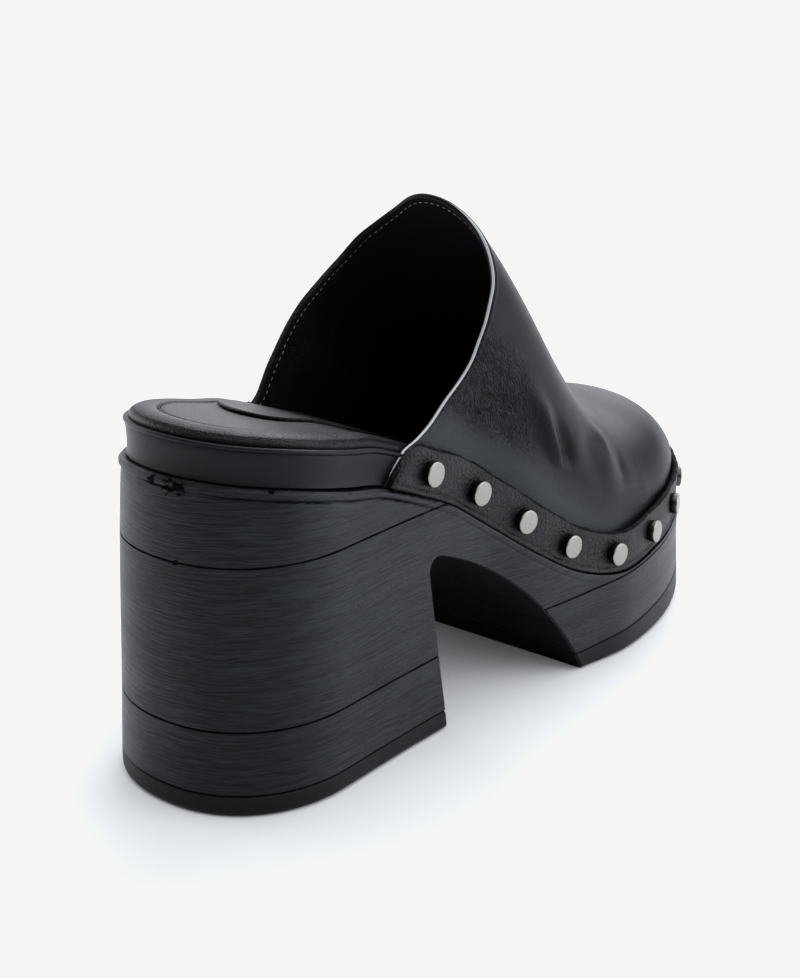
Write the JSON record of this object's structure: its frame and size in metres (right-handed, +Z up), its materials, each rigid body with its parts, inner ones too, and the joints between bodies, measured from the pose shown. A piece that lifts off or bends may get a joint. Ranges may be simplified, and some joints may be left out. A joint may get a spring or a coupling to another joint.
{
  "type": "platform clog",
  "caption": "Closed-toe, open-back platform clog for the right foot: block heel and platform in one piece, leather upper, studded rand and padded footbed.",
  "frame": {"origin": "on the floor, centred under the heel block's outsole", "axes": "+X forward to the toe, +Y to the inner (big toe) side, +Z up; stands on the floor at z = 0"},
  "size_m": [0.2464, 0.1017, 0.1456],
  "materials": {
    "outsole": "matte black rubber",
    "block": "satin black lacquer over fine horizontal grain",
    "smooth_leather": "smooth black leather, soft gloss",
    "footbed_leather": "smooth black lining leather",
    "rand_leather": "fine-grained black leather, low gloss",
    "nickel": "light nickel plate, satin"
  },
  "bodies": {
    "root": {"outsole_heel": "outsole", "outsole_forefoot": "outsole", "sole_block": "block", "midsole_band": "smooth_leather", "insole": "footbed_leather", "insole_sock": "footbed_leather", "upper": "smooth_leather", "rand": "rand_leather", "stud_01": "nickel", "stud_02": "nickel", "stud_03": "nickel", "stud_04": "nickel", "stud_05": "nickel", "stud_06": "nickel", "stud_07": "nickel", "stud_08": "nickel", "stud_09": "nickel", "stud_10": "nickel", "stud_11": "nickel", "stud_12": "nickel", "stud_13": "nickel", "stud_14": "nickel", "stud_15": "nickel", "stud_16": "nickel", "stud_17": "nickel", "stud_18": "nickel"}
  },
  "joints": []
}
